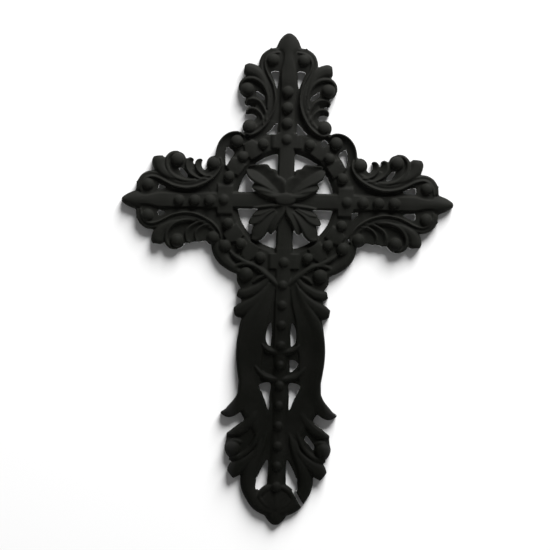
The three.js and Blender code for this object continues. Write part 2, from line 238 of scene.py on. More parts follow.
for degrees, stretch in arms:
    for side in (1, -1):
        half = limb(degrees, side, stretch)
        strip(FLUTED, STEM, half)
        strip(ROUNDED, TENDRIL, half)
        strip(ROUNDED, BLUNT_LEAF, half)
        strip(CREST_LEFT, OUTER_LEAFLET, half)
        strip(CREST_LEFT, INNER_LEAFLET, half)
        for bed in (GROOVE_BED, SCROLL_BED, TENDRIL_BED, SHOULDER_BED, ARM_ROOT_BED):
            strip(BED, bed, half)
        for out, across, radius, top in SCROLL_BEADS:
            bead(out, across, radius, top, half, SCROLL_BEAD_FLAT)
            bead(out, across, radius + SEAT_MARGIN, SEAT_RISE, half, SEAT_FLAT)
        # below the side arms the gaps between the leaflets are filled in
        if half.col[1].z < 0:
            strip(BED, UNDER_BED, half)

# The ring round the crossing: a flat band with a sloped inner edge, raised plates at the arms and
# on the diagonals, and sixteen beads. Two bars cross inside it and leave four open windows.
RING_INNER, RING_CREST, RING_OUTER = 41.2, 45.4, 58.0
RING_RISE = 6.5
RING_MEAN = 52.5
RING_BEAD_COUNT = 16
RING_BEAD_RADIUS, RING_BEAD_TOP, RING_BEAD_FLAT = 4.3, 11.7, 0.72
SQUARE_PLATE = [(45, 0, 14.6, 14.6, 8.6), (58, 0, 14.6, 14.6, 8.6)]
DIAGONAL_PLATE = [(45, 0, 6.9, 6.9, 8.6), (56, 0, 6.9, 6.9, 8.6), (60, 0, 4.6, 4.6, 8.4)]
INNER_BAR = [(-50, 0, 7.2, 7.2, 8.6), (50, 0, 7.2, 7.2, 8.6)]
RING_EASE, RING_LIP = 0.6, 3.4
RING_SECTION = [(RING_INNER, 0), (RING_OUTER, 0), (RING_OUTER, RING_RISE - RING_EASE),
                (RING_OUTER - RING_EASE, RING_RISE), (RING_CREST, RING_RISE),
                (RING_INNER, RING_LIP)]
RING_FACETS = 128

crossing = limb(0)
band = bmesh.new()
ring_line = [band.verts.new(crossing @ Vector((r, 0, h))) for r, h in RING_SECTION]
ring_edges = [band.edges.new((a, b)) for a, b in zip(ring_line, ring_line[1:] + ring_line[:1])]
bmesh.ops.spin(
    band, geom=ring_line + ring_edges, cent=(0, 0, 0), axis=(0, 1, 0), angle=2 * math.pi,
    steps=RING_FACETS, use_merge=True)
bmesh.ops.recalc_face_normals(band, faces=band.faces)
join(casting, band)
bead_turn = 360 / RING_BEAD_COUNT
for n in range(RING_BEAD_COUNT):
    bead(RING_MEAN, 0, RING_BEAD_RADIUS, RING_BEAD_TOP, limb(bead_turn * n), RING_BEAD_FLAT)
    # every fourth bead sits on an arm's square plate, and two smaller plates lie between those
    if n % 4 == 0:
        strip(FLAT, SQUARE_PLATE, limb(bead_turn * n))
    elif n % 4 != 3:
        strip(FLAT, DIAGONAL_PLATE, limb(bead_turn * (n + 0.5)))
for turn in (0, 90):
    strip(FLAT, INNER_BAR, limb(turn))

# Leaves at the crossing: four lobed leaves spring from the round boss that covers the joint of the
# bars. The upper pair lies over a bow, and two small sepals stand out sideways below it.
BLADE = [(-1, 0.74), (-0.8, 0.71), (0, 0.76), (0.45, 0.87), (0.75, 0.97), (0.9, 1), (1, 0.93)]
SHINGLE = [(-1, 0.72), (-0.92, 0.92), (-0.75, 1), (-0.3, 0.95), (0.3, 0.86), (0.8, 0.78),
           (1, 0.72)]
UPPER_BLADE = [(3, 3, 1.2, 4.6, 11.2), (7.6, 7.8, 1.2, 11.2, 11.3), (11, 11.2, 1.2, 11.8, 11.3),
               (14.8, 15, 1.2, 10.4, 11.3), (17.6, 17.6, 1.2, 12.6, 11.3),
               (20.2, 20.2, 1.2, 10.4, 11.3), (23.0, 23.2, 1.2, 10.8, 11.2),
               (25.6, 26.2, 1.1, 7.0, 11.0), (27.6, 28.8, 1, 3.6, 10.6), (29, 31.2, 0.8, 0.8, 9.6)]
UPPER_LOBES = [
    [(10, 10.4, 2, 2, 11.6), (14.6, 17, 3.4, 3.6, 12.4), (19.0, 23.8, 4.8, 4.2, 12.4),
     (22.4, 28.6, 4.8, 4, 11.8), (24.6, 31.4, 3.2, 2.8, 10.8), (26, 33, 1, 1, 9.6)],
    [(6, 7, 2, 2.4, 11.8), (9.8, 14, 4.2, 4.8, 12.6), (11.6, 20.4, 4.8, 5, 12.6),
     (12, 25, 4.4, 4.4, 11.8), (11.6, 28, 1.6, 1.6, 10.6), (11.5, 28.8, 0.8, 0.8, 10)],
]
BOW = [(9.8, 27.2, 1.0, 1.0, 10.2), (7.4, 22, 2.2, 2.4, 12), (4.6, 15, 2.9, 3.4, 12.8),
       (3.4, 8, 3.4, 4.0, 13.4), (3.2, 0, 3.5, 4.2, 13.6)]
SEPAL = [(-6.4, 27, 0.8, 0.8, 10), (-5.2, 19, 1.8, 1.8, 11), (-4.2, 10, 2.6, 2.4, 11.8),
         (-3.6, 2, 2.8, 2.6, 12.2)]
LOWER_LOBES = [
    [(-3, 2.6, 2.8, 2.6, 12.2), (-9, 4.6, 4.6, 4.6, 12.4), (-14.4, 7.4, 4.0, 6, 12.4),
     (-20, 9.8, 3.4, 5.8, 12), (-25, 11.2, 3.0, 4.0, 11.2), (-28.6, 12, 1.2, 1.2, 10)],
    [(-9, 8, 2, 3, 11.4), (-16, 14.6, 4.6, 6, 11.8), (-22.6, 20, 6.6, 6.4, 11.6),
     (-27.6, 23.4, 6.8, 5.4, 11), (-30.6, 25.6, 5.2, 3.8, 10.2), (-32.4, 28, 1, 1, 9.4)],
    [(-6.6, 9, 1.6, 2, 11), (-10.4, 16.4, 3, 3.8, 11.4), (-14.4, 23, 5.0, 4.2, 11),
     (-17.8, 27.8, 3.6, 3.2, 10.4), (-19.8, 30.6, 1, 1, 9.4)],
    [(-5.4, 10, 1.4, 1.6, 10.8), (-7.8, 16, 2.4, 2.6, 11), (-10.2, 22, 2.8, 2.6, 10.6),
     (-12.4, 27.6, 0.8, 0.8, 9.6)],
]
BOSS_OUT, BOSS_RADIUS, BOSS_TOP, BOSS_FLAT, BOSS_WIDENING = 1.4, 5.0, 13.8, 0.26, 1.8

for side in (1, -1):
    upright = limb(0, side)
    strip(BLADE, UPPER_BLADE, upright)
    for lobe in UPPER_LOBES + LOWER_LOBES:
        strip(SHINGLE, lobe, upright)
    strip(ROUNDED, BOW, upright)
    strip(ROUNDED, SEPAL, upright)
widened = crossing @ Matrix.Diagonal((1, BOSS_WIDENING, 1, 1))
bead(BOSS_OUT, 0, BOSS_RADIUS, BOSS_TOP, widened, BOSS_FLAT)

# Upper corners: between two arms a turned ribbon runs round outside the ring and curls in to a
# bead, on a sunk bed that ties it to the ring.
CORNER_RIBBON = [(26.5, 57.4, 3.0, 4.4, 8.5), (32.5, 57.4, 3.2, 4.6, 8.5),
                 (40.5, 57.4, 3.2, 5.2, 8.8), (47.5, 55.6, 3.2, 5.4, 9), (53.0, 51.4, 3.2, 5.0, 9),
                 (55.8, 46.4, 3.0, 4.6, 9), (56.0, 41.2, 2.9, 4.0, 9), (53.6, 36.6, 2.6, 3.4, 9)]
CORNER_BED = [(50, 27, 7, 9, 4.8), (45.5, 34, 6, 12, 4.8), (38.5, 41, 8, 14, 4.8),
              (29.5, 47, 6, 10, 4.8), (20.5, 51, 5, 7, 4.8)]
CORNER_BEAD_OUT, CORNER_BEAD_ACROSS = 50.4, 42.4
CORNER_BEAD_RADIUS, CORNER_BEAD_TOP, CORNER_BEAD_FLAT = 5.2, 11.4, 0.75

for side in (1, -1):
    upright = limb(0, side)
    strip(CREST_LEFT, CORNER_RIBBON, upright)
    strip(BED, CORNER_BED, upright)
    bead(CORNER_BEAD_OUT, CORNER_BEAD_ACROSS, CORNER_BEAD_RADIUS, CORNER_BEAD_TOP, upright,
         CORNER_BEAD_FLAT)

# The shaft: a narrower bar with eleven beads, dressed under the ring with a crown of arched bands
# and curled leaves. It leans a little, in degrees, as the casting does.
SHAFT_LEAN = 0.4
SHAFT_BAR = [(40, 0, 7.6, 7.6, 8.8), (62, 0, 7.0, 7.0, 8.6), (128, 0, 7.0, 7.0, 8.6)]
LOWER_BAR = [(124, 0, 6.9, 6.9, 8.5), (150, 0, 7.4, 7.4, 8.7), (180, 0, 7.8, 7.8, 8.7),
             (215, 0, 7.6, 7.6, 8.7), (246, 0, 7.2, 7.2, 8.6)]
SHAFT_BAR_BED = [(50, 0, 8, 8, 5), (246, 0, 8, 8, 5)]
SHAFT_BEAD_COUNT, SHAFT_BEAD_START, SHAFT_BEAD_STEP = 11, 72, 17.2
SHAFT_BEAD_RADIUS, SHAFT_BEAD_TOP, SHAFT_BEAD_FLAT = 4.0, 11.2, 0.66
LOOP = [(36, 57.0, 5.4, 5.6, 7.6), (43, 55.5, 6.0, 6.2, 8), (50, 51.4, 6.0, 6.0, 8),
        (55.6, 45.0, 5.2, 4.4, 8), (59.6, 39.8, 4.0, 4.0, 8), (62.4, 36.6, 2.6, 3.0, 7.4)]
LOOP_LIP = [(44, 46, 1.8, 1.8, 7.6), (47.6, 42.2, 2.4, 2.4, 8.8), (51, 36.6, 2.6, 2.6, 9.4),
            (54, 30, 2.4, 2.4, 9.6)]
CROWN_ARCH = [(60.5, 42.5, 1.8, 1.8, 7.6), (56.4, 39.6, 2.2, 2.2, 8.6),
              (54.6, 34.5, 2.4, 2.6, 9.4), (54.9, 27.5, 2.6, 2.8, 10),
              (57.8, 21.3, 2.8, 2.8, 10.5), (62, 16.0, 2.8, 2.8, 10.5), (66.5, 10.5, 2.8, 2.8, 10),
              (71.5, 5, 2.6, 2.6, 9)]
CROWN_CURL = [(70.5, 25.5, 1.6, 1.6, 8), (66.6, 21.4, 2.2, 2.2, 9.4), (64.0, 16.6, 2.4, 2.4, 10)]
CURLED = [(-1, 0.5), (-0.85, 0.78), (-0.55, 0.95), (-0.1, 1), (0.4, 0.97), (0.7, 0.86),
          (0.9, 0.66), (1, 0.5)]
CROWN_LEAF = [(78.6, 38.4, 3.8, 2.4, 7.2), (79.4, 34.6, 5.2, 3.6, 8.6),
              (78.8, 29.6, 5.2, 4.0, 9.2), (76, 23.6, 4.6, 3.8, 9.5), (72, 17.5, 3.8, 3.4, 9.5),
              (67, 13, 3, 3, 9.5)]
BROAD_LEAF = [(95.2, 41.0, 3.6, 3.2, 7.4), (94.6, 37.6, 6.4, 4.8, 8.4),
              (91.6, 32.2, 6.6, 5.2, 9.2), (87.6, 26.4, 5.6, 4.4, 9.5),
              (82.5, 20.0, 4.4, 3.8, 9.5), (76, 14, 3.2, 3.2, 9.5)]
LOOP_BED = [(32, 52, 6, 6, 5.8), (40, 47, 8, 8, 5.8), (48, 41, 8, 8, 5.8), (56, 33, 8, 8, 5.8)]
CROWN_BED = [(52, 30, 12, 14, 6.6), (62, 24, 17, 22, 6.6), (72, 20, 16, 20, 6.6),
             (84, 18, 17, 12, 6.6), (98, 18, 18, 6, 6.6)]
CROWN_BEADS = [(39.6, 50.4, 5.1, 11.2), (63.2, 31.6, 5.9, 11.8)]
CROWN_BEAD_FLAT = 0.75

shaft = limb(180 + SHAFT_LEAN)
shaft_halves = [limb(180 + SHAFT_LEAN, side) for side in (1, -1)]
strip(FLAT, SHAFT_BAR, shaft)
strip(ROUNDED, LOWER_BAR, shaft)
strip(BED, SHAFT_BAR_BED, shaft)
for n in range(SHAFT_BEAD_COUNT):
    out = SHAFT_BEAD_START + SHAFT_BEAD_STEP * n
    bead(out, 0, SHAFT_BEAD_RADIUS, SHAFT_BEAD_TOP, shaft, SHAFT_BEAD_FLAT)
for half in shaft_halves:
    strip(ROUNDED, LOOP, half)
    strip(ROUNDED, LOOP_LIP, half)
    strip(ROUNDED, CROWN_ARCH, half)
    strip(ROUNDED, CROWN_CURL, half)
    strip(CURLED, CROWN_LEAF, half)
    strip(CURLED, BROAD_LEAF, half)
    strip(BED, LOOP_BED, half)
    strip(BED, CROWN_BED, half)
    for out, across, radius, top in CROWN_BEADS:
        bead(out, across, radius, top, half, CROWN_BEAD_FLAT)

# Long leaves of the shaft: a hollow-edged leaf sweeps down each side to an outward point, its
# blade thinner than its rim and pierced beside the bar, with short rungs over to the bar.
LEAF_BACK = [(-1, 0.5), (-0.92, 0.78), (-0.75, 0.96), (-0.5, 1), (-0.1, 0.96), (0.4, 0.92),
             (0.8, 0.91), (1, 0.9)]
SOFT_RIM = [(-1, 0.55), (-0.86, 0.84), (-0.6, 0.97), (-0.2, 1), (0.4, 0.93), (1, 0.84)]
LONG_BLADE = [(84, 16, 8, 9, 6), (102, 20, 14, 13, 6.2), (123, 22, 15.4, 15, 6.2),
              (150, 20.5, 14.8, 14, 6.2), (176, 20.5, 13.6, 14, 6.2), (187, 18, 10.4, 12, 6.2),
              (205, 15, 9, 9, 6.2), (222, 14, 7, 8, 6.2), (236, 13, 5, 7, 6)]
LONG_LEAF = [(66, 7.6, 1, 1, 8.3), (72, 9.6, 2.6, 3, 8.4), (79, 12.4, 4.2, 5.2, 8.5),
             (86, 15.4, 5.8, 7, 8.5), (93, 18, 8.2, 8, 8.5), (102, 21.6, 11, 9.4, 8.5),
             (111, 23.4, 12.6, 10.4, 8.5), (121, 24.2, 13.6, 11, 8.5), (133, 24.6, 13.6, 8.6, 8.5),
             (145, 24.4, 12.5, 8.4, 8.5), (156, 23.4, 11.8, 7.4, 8.5), (165, 22, 13, 12, 8.5),
             (176, 19.4, 14.4, 12.8, 8.4), (187, 16, 11, 10.4, 8.3), (197, 13.6, 8.4, 8.4, 8.0),
             (206, 12.6, 6.4, 6.6, 7.2), (216, 11.6, 3.6, 4.6, 5.8)]
LONG_RIM = [(70, 11, 1, 1, 9), (76, 13.5, 2.2, 2.4, 9.5), (84, 17.0, 2.8, 3.4, 9.6),
            (93, 22.0, 4.2, 4, 9.6), (102, 27.2, 5.4, 5, 9.6), (111, 31.0, 5.0, 6, 9.6),
            (121, 33.0, 4.8, 7, 9.6), (133, 33.4, 4.8, 7, 9.6), (145, 32.1, 4.8, 7, 9.6),
            (156, 30.4, 4.8, 7, 9.6), (165, 31.0, 4.8, 7, 9.6), (172, 34, 4.8, 6.5, 9.6),
            (178.3, 39.0, 4.8, 6.0, 9.4), (181.6, 44.0, 3.6, 4.6, 8.8),
            (182.4, 49.6, 0.9, 0.9, 6.5)]
UPPER_RUNG = [(122.4, 16, 1.2, 1.2, 8.6), (125, 14, 2.2, 2.4, 9.2), (127.6, 10.6, 2.6, 3.0, 9.4),
              (129, 6, 2.8, 3.4, 9.2), (129.4, 1, 2.8, 3.4, 8.8)]
LOWER_RUNG = [(141.6, 21.4, 1.4, 1.4, 8.6), (146.4, 17.6, 2.8, 2.8, 9.2),
              (150.4, 12.6, 3.2, 3.4, 9.4), (152.2, 7, 3.4, 3.6, 9.2), (152.6, 1, 3.4, 3.6, 8.8)]

for half in shaft_halves:
    strip(BED, LONG_BLADE, half)
    strip(SOFT_RIM, LONG_RIM, half)
    strip(LEAF_BACK, LONG_LEAF, half)
    strip(ROUNDED, UPPER_RUNG, half)
    strip(ROUNDED, LOWER_RUNG, half)

# The foot: low leaves and hooks with a bead in each eye, then a pear-shaped frame round two pierced
# openings that closes in a blunt point, with a pair of petals over its last bead.
LOW_LEAF = [(177, 17.6, 1.4, 1.6, 7.2), (182, 20, 3.8, 4.6, 8.6), (187.5, 23.6, 4.4, 5, 9),
            (193.6, 29.4, 4.4, 5.4, 9), (198.2, 36.2, 4.0, 5.0, 9), (200.6, 44.0, 1.0, 2.2, 6.8)]
LOW_HOOK = [(190, 14, 1, 1, 6.4), (197, 16.4, 2.6, 2.6, 8.2), (204, 19.0, 2.6, 3, 9),
            (211.0, 22.6, 2.6, 3, 9), (216.4, 28.0, 2.6, 3.2, 9), (219.6, 34.5, 2.6, 4.4, 8.6),
            (219.0, 41.0, 2.6, 3.8, 7.6)]
HOOK_LID = [(207.5, 31.5, 2.0, 2.2, 7.6), (205.6, 36, 2.6, 2.4, 8.6), (206.6, 41, 2.2, 2.2, 7.6)]
THIRD_LEAF = [(199, 12.4, 1, 1, 6.4), (206, 14.8, 2.4, 2.4, 8.2), (213.5, 17.6, 2.6, 3, 9),
              (221, 23.6, 4.4, 3.6, 9), (227.6, 30.5, 7.4, 4.6, 9), (231.5, 36.0, 7.6, 5.4, 8.8),
              (234.6, 40.0, 4.6, 4.6, 8)]
FOOT_FRAME = [(192, 8.4, 1, 1, 6.4), (201, 10.6, 2.2, 2.2, 8.2), (208, 12.8, 3.6, 3.8, 8.7),
              (218, 16.6, 4, 4.4, 8.8), (228, 21.8, 6.0, 6.4, 8.8), (238, 24.4, 6.8, 6.8, 8.2),
              (246, 23.6, 6.4, 7.0, 7.4), (253, 20.4, 6, 6.6, 7.2), (259, 15.4, 6.4, 6.2, 7.2),
              (263, 9, 6, 6, 7.2), (265, 2, 5, 5, 7)]
FOOT_UPPER_BED = [(194, 24, 7, 6, 6), (203, 30, 9, 8, 6), (212, 33, 9, 7, 6)]
FOOT_HOOK_BED = [(200.6, 41.4, 2.4, 3.4, 6), (204, 41, 3.2, 3.2, 6), (208.5, 39.6, 6, 6, 6),
                 (214, 38.4, 6.4, 7, 6), (219, 36.4, 4.6, 4.6, 6), (222.5, 38.4, 3.2, 3.6, 6)]
FOOT_EYE_BED = [(212, 27, 4, 4, 6), (212.4, 40, 6, 6, 6)]
FOOT_BEAD_OUT, FOOT_BEAD_ACROSS = 212.4, 38.4
FOOT_BEAD_RADIUS, FOOT_BEAD_TOP, FOOT_BEAD_FLAT = 6.6, 11.2, 0.75
FOOT_TIP = [(246, 0, 9, 9, 7.2), (252, 0, 14, 14, 7.2), (258, 0, 15, 15, 7.2),
            (266, 0, 11.8, 11.8, 6.8), (270, 0, 9.0, 9.0, 6.6), (274.5, 0, 5.6, 5.6, 5.8),
            (277.1, 0, 2.6, 2.6, 4.6)]
PETAL = [(243.2, 1, 2.2, 3.2, 8.2), (244.6, 6, 2.8, 3.4, 8.4), (248.2, 11.4, 2.8, 3.4, 8.3),
         (253.4, 15.0, 2.4, 2.8, 7.6)]
PETAL_LIP = [(263, 2, 2.2, 2.2, 7.1), (261.2, 6.4, 2.8, 2.8, 7.6), (257.6, 11.0, 2.8, 2.8, 7.7),
             (252.6, 15.0, 2.4, 2.4, 7.5)]
PETAL_BOWL = [(247, 0, 9, 9, 7.0), (253, 0, 13.5, 13.5, 7.3), (259, 0, 13, 13, 7.3),
              (264, 0, 8, 8, 7.0)]
PETAL_WEB = [(245, 0, 2.6, 2.6, 8.2), (254, 0, 3.4, 3.4, 8.3), (263, 0, 3.8, 3.8, 7.7)]

strip(RIDGED, FOOT_TIP, shaft)
strip(FLAT, PETAL_BOWL, shaft)
strip(ROUNDED, PETAL_WEB, shaft)
for half in shaft_halves:
    strip(CURLED, LOW_LEAF, half)
    strip(ROUNDED, LOW_HOOK, half)
    strip(ROUNDED, HOOK_LID, half)
    strip(CURLED, THIRD_LEAF, half)
    strip(ROUNDED, FOOT_FRAME, half)
    strip(ROUNDED, PETAL, half)
    strip(ROUNDED, PETAL_LIP, half)
    strip(BED, FOOT_EYE_BED, half)
    strip(BED, FOOT_HOOK_BED, half)
    strip(BED, FOOT_UPPER_BED, half)
    bead(FOOT_BEAD_OUT, FOOT_BEAD_ACROSS, FOOT_BEAD_RADIUS, FOOT_BEAD_TOP, half, FOOT_BEAD_FLAT)

# Poured as one: the parts above run together into a single body with the soft corners that iron
# takes from a sand mould. Cores keep the openings between the scrolls clear, and a narrow slit
# splits the foot's frame on the right.
GRAIN_OF_CAST = 0.55
SOFTENING_PASSES, SOFTENING_SHARE = 6, 0.5
CAST_TRIANGLES = 190000
SLIT_FROM, SLIT_TO, SLIT_WIDTH = (246.5, 14.6), (268.5, 27.6), 2.8
SLIT_DEPTH, SLIT_MIDDLE_HEIGHT = 30, 5
FINIAL_GAP = [(110.8, 8.2), (111.2, 11.2), (110.2, 14.6), (105.2, 12.8), (100.6, 11.0),
              (96.2, 9.3), (100.6, 8.4), (106, 8.2)]
SHORT_GAP = [(111.2, 8.6), (111.6, 11.0), (110.6, 13.8), (106.6, 12.8), (103.2, 11.4),
             (100.6, 9.8), (103.2, 8.8), (107, 8.5)]
SMALL_GAP = [(111.6, 9.0), (111.8, 11.2), (110.6, 13.2), (107.6, 12.2), (105.0, 10.6),
             (107.4, 9.4)]
ROOT_GAP = [(66.6, 8.7), (61.5, 8.4), (57.2, 8.9), (56.8, 13.0), (57.2, 17.4), (60.4, 14.2),
            (64.2, 11.2)]
SMALL_ROOT_GAP = [(62.6, 8.8), (59.4, 8.6), (57.2, 9.2), (57.0, 12.0), (57.6, 14.6), (60.0, 12.4)]
EYE_GAP = [(86.4, 19.4), (88.8, 20.0), (92.0, 23.6), (93.6, 27.2), (91.6, 27.4), (87.8, 24.2),
           (86.0, 21.2)]
CORNER_GAP = [(45.2, 50.6), (43.4, 47.2), (40.4, 44.6), (35.4, 47.4), (29.4, 51.2), (34.4, 52.0),
              (40.4, 52.0)]
RIGHT_CORNER_HOLE = [(53.2, 32.2), (50.0, 29.2), (46.8, 32.2), (50.0, 35.2)]
SHAFT_GAPS = [
    [(103.8, 9.2), (108, 11.6), (115, 12.9), (121, 12.2), (124.2, 9.4), (118, 8.3), (110, 8.2)],
    [(155.2, 9.0), (155.6, 13.2), (157.2, 17.4), (164, 14.9), (171, 12.0), (178.6, 9.0),
     (167, 8.4)],
    [(221.0, 8.6), (227, 12.2), (234, 15.6), (241, 17.6), (247.4, 17.4), (245.6, 13.2),
     (241.4, 9.2), (231, 7.9)],
]
RIGHT_RUNG_GAP = [(135.6, 8.6), (136.2, 13.0), (138.6, 15.4), (142, 13.6), (146.0, 9.0), (141, 8.2)]
RIGHT_FOOT_GAP = [(200.0, 23.8), (202.6, 22.8), (207.2, 26.2), (211.9, 31.0), (209.6, 31.4),
                  (204.8, 28.8)]
CORE_FOOT, CORE_DEPTH = -1, 20
CORE_STEPS = 4

cores = bmesh.new()


def core(outline, place):
    """A core that keeps one opening clear, right through. The outline is rounded as it is made."""
    run = outline[-2:] + outline + outline[:3]
    knots = distances(run)
    first, last = knots[2], knots[2 + len(outline)]
    turns = CORE_STEPS * len(outline)
    loop = smooth_through(knots, run, [first + (last - first) * n / turns for n in range(turns)])
    piece = bmesh.new()
    face = piece.faces.new(
        [piece.verts.new(place @ Vector((out, across, CORE_FOOT))) for out, across in loop])
    grown = bmesh.ops.extrude_face_region(piece, geom=[face], use_keep_orig=True)
    lifted = [item for item in grown["geom"] if isinstance(item, bmesh.types.BMVert)]
    bmesh.ops.translate(piece, vec=(0, -CORE_DEPTH * MILLIMETRE, 0), verts=lifted)
    bmesh.ops.recalc_face_normals(piece, faces=piece.faces)
    join(cores, piece)


pattern_mesh = bpy.data.meshes.new("cross_pattern")
casting.to_mesh(pattern_mesh)
casting.free()
pattern = bpy.data.objects.new("cross_pattern", pattern_mesh)
bpy.context.scene.collection.objects.link(pattern)

shaft_right = shaft_halves[1]
slit_run = Vector(SLIT_TO) - Vector(SLIT_FROM)
slit_middle = Vector(SLIT_FROM) + slit_run / 2
bmesh.ops.create_cube(
    cores, size=1,
    matrix=shaft_right @ Matrix.Translation((slit_middle.x, slit_middle.y, SLIT_MIDDLE_HEIGHT))
    @ Matrix.Rotation(math.atan2(slit_run.y, slit_run.x), 4, "Z")
    @ Matrix.Diagonal((slit_run.length, SLIT_WIDTH, SLIT_DEPTH, 1)))
bmesh.ops.recalc_face_normals(cores, faces=cores.faces)
# the arms differ: some of their gaps are smaller or closed, most of them on the left arm
arm_gaps = [
    (TOP_ARM, 1, [FINIAL_GAP, ROOT_GAP, EYE_GAP]),
    (TOP_ARM, -1, [FINIAL_GAP, ROOT_GAP, EYE_GAP]),
    (RIGHT_ARM, -1, [SHORT_GAP, EYE_GAP]),
    (RIGHT_ARM, 1, [SHORT_GAP, SMALL_ROOT_GAP]),
    (LEFT_ARM, 1, [SMALL_GAP, EYE_GAP]),
    (LEFT_ARM, -1, [SMALL_GAP]),
]
for (degrees, stretch), side, gaps in arm_gaps:
    for gap in gaps:
        core(gap, limb(degrees, side, stretch))
core(RIGHT_CORNER_HOLE, crossing)
for side, half in zip((1, -1), shaft_halves):
    core(CORNER_GAP, limb(0, side))
    for gap in SHAFT_GAPS:
        core(gap, half)
for gap in (RIGHT_RUNG_GAP, RIGHT_FOOT_GAP):
    core(gap, shaft_right)
cores_mesh = bpy.data.meshes.new("cores")
cores.to_mesh(cores_mesh)
cores.free()
core_box = bpy.data.objects.new("cores", cores_mesh)
bpy.context.scene.collection.objects.link(core_box)

flow = pattern.modifiers.new("flow together", "REMESH")
flow.mode = "VOXEL"
flow.voxel_size = GRAIN_OF_CAST * MILLIMETRE
cut = pattern.modifiers.new("openings", "BOOLEAN")
cut.operation = "DIFFERENCE"
cut.object = core_box
cut.solver = "MANIFOLD"
soften = pattern.modifiers.new("soft corners", "SMOOTH")
soften.factor = SOFTENING_SHARE
soften.iterations = SOFTENING_PASSES


def as_made(thing):
    """The thing's mesh with its modifiers worked in."""
    return bpy.data.meshes.new_from_object(
        thing.evaluated_get(bpy.context.evaluated_depsgraph_get()))


poured = as_made(pattern)
pattern.modifiers.clear()
pattern.data = poured
thin = pattern.modifiers.new("fewer faces", "DECIMATE")
thin.ratio = min(1, CAST_TRIANGLES / sum(len(face.vertices) - 2 for face in poured.polygons))
cast_mesh = as_made(pattern)
cast_mesh.name = "iron_cross"
for spare in (pattern, core_box):
    bpy.data.objects.remove(spare)
finish_pass = bmesh.new()
finish_pass.from_mesh(cast_mesh)
for vert in finish_pass.verts:
    vert.co.y = min(vert.co.y, 0)
bmesh.ops.recalc_face_normals(finish_pass, faces=finish_pass.faces)
finish_pass.to_mesh(cast_mesh)
finish_pass.free()
cast_mesh.shade_smooth()
cross = bpy.data.objects.new("iron_cross", cast_mesh)
bpy.context.scene.collection.objects.link(cross)

# the iron's colour is painted darker low on the shaft and paler at the top: painted shade below and
# painted light above, for the lamp's light falling off down the cross; its outward tips low down
# are painted lighter
PAINTED_SHADE_LOW_IRON, MIDDLE_IRON = (0.0022, 0.0024, 0.0017, 1), (0.0086, 0.0090, 0.0075, 1)
PAINTED_LIGHT_TOP_IRON, PAINTED_HIGHLIGHT_IRON = (0.0146, 0.0148, 0.0131, 1), (0.0170, 0.0170, 0.0168, 1)
WORN_IRON, WORN_SHARE = (0.0092, 0.0091, 0.0080, 1), 0.4
DUST, DUST_SHARE = (0.03, 0.029, 0.027, 1), 0.15
PAINTED_SHADE_BELOW, PAINTED_SHADE_ENDS = -0.125, -0.045
PAINTED_LIGHT_FROM, PAINTED_LIGHT_TO = -0.04, 0.05
# where the painted highlight on the outward tips lies, and how strong it is
PAINTED_HIGHLIGHT_FROM, PAINTED_HIGHLIGHT_TO, PAINTED_HIGHLIGHT_SHARE = 0.037, 0.047, 0.9
PAINTED_HIGHLIGHT_BELOW, NO_PAINTED_HIGHLIGHT_ABOVE = -0.12, -0.08
DUST_FROM_SLOPE, DUST_TO_SLOPE = 0.15, 0.95
WORN_FROM, WORN_TO = 0.42, 0.72
GRAIN_SCALE, GRAIN_STRENGTH, GRAIN_HEIGHT = 1300.0, 0.3, 0.00012
PITTING_SCALE, PITTING_STRENGTH, PITTING_DEPTH = 260.0, 0.35, 0.0004
PATCH_SCALE, PATCH_LOW, PATCH_HIGH = 34.0, 0.3, 0.7
IRON_SHINE, IRON_DULLNESS = 0.04, 0.5
IRON_SMOOTHEST, IRON_ROUGHEST = 0.6, 0.74

iron = bpy.data.materials.new("black_cast_iron")
iron.use_nodes = True
nodes, links = iron.node_tree.nodes, iron.node_tree.links
skin = nodes["Principled BSDF"]
skin.inputs["Metallic"].default_value = 0
skin.inputs["Specular IOR Level"].default_value = IRON_SHINE
skin.inputs["Diffuse Roughness"].default_value = IRON_DULLNESS


def add_node(kind, **settings):
    """A node of the iron. A setting is one of the node's own, or the value of a socket."""
    node = nodes.new(kind)
    for name, value in settings.items():
        if hasattr(node, name):
            setattr(node, name, value)
        else:
            node.inputs[name.replace("_", " ")].default_value = value
    return node


def fade(source, start, end, low=0.0, high=1.0, **settings):
    """A value that goes from low to high while the source goes from start to end."""
    node = add_node("ShaderNodeMapRange", From_Min=start, From_Max=end, To_Min=low, To_Max=high,
                    **settings)
    links.new(source, node.inputs["Value"])
    return node.outputs["Result"]


def both(first, second):
    """The share of a place that has both things."""
    node = add_node("ShaderNodeMath", operation="MULTIPLY")
    links.new(first, node.inputs[0])
    links.new(second, node.inputs[1])
    return node.outputs["Value"]


def laid_over(share, under, over):
    """One tone laid over another by a share. A tone is a colour, or the socket that gives one."""
    node = add_node("ShaderNodeMix", data_type="RGBA")
    links.new(share, node.inputs["Factor"])
    for name, tone in (("A", under), ("B", over)):
        if isinstance(tone, tuple):
            node.inputs[name].default_value = tone
        else:
            links.new(tone, node.inputs[name])
    return node.outputs["Result"]


place = add_node("ShaderNodeTexCoord")
grain = add_node("ShaderNodeTexNoise", Scale=GRAIN_SCALE, Detail=3.0, Roughness=0.6)
pitting = add_node("ShaderNodeTexNoise", Scale=PITTING_SCALE, Detail=4.0, Roughness=0.62)
patches = add_node("ShaderNodeTexNoise", Scale=PATCH_SCALE, Detail=5.0, Roughness=0.6)
for texture in (grain, pitting, patches):
    links.new(place.outputs["Object"], texture.inputs["Vector"])
axes = add_node("ShaderNodeSeparateXYZ")
links.new(place.outputs["Object"], axes.inputs[0])
aside = add_node("ShaderNodeMath", operation="ABSOLUTE")
links.new(axes.outputs["X"], aside.inputs[0])
facing = add_node("ShaderNodeNewGeometry")
facing_axes = add_node("ShaderNodeSeparateXYZ")
links.new(facing.outputs["Normal"], facing_axes.inputs[0])
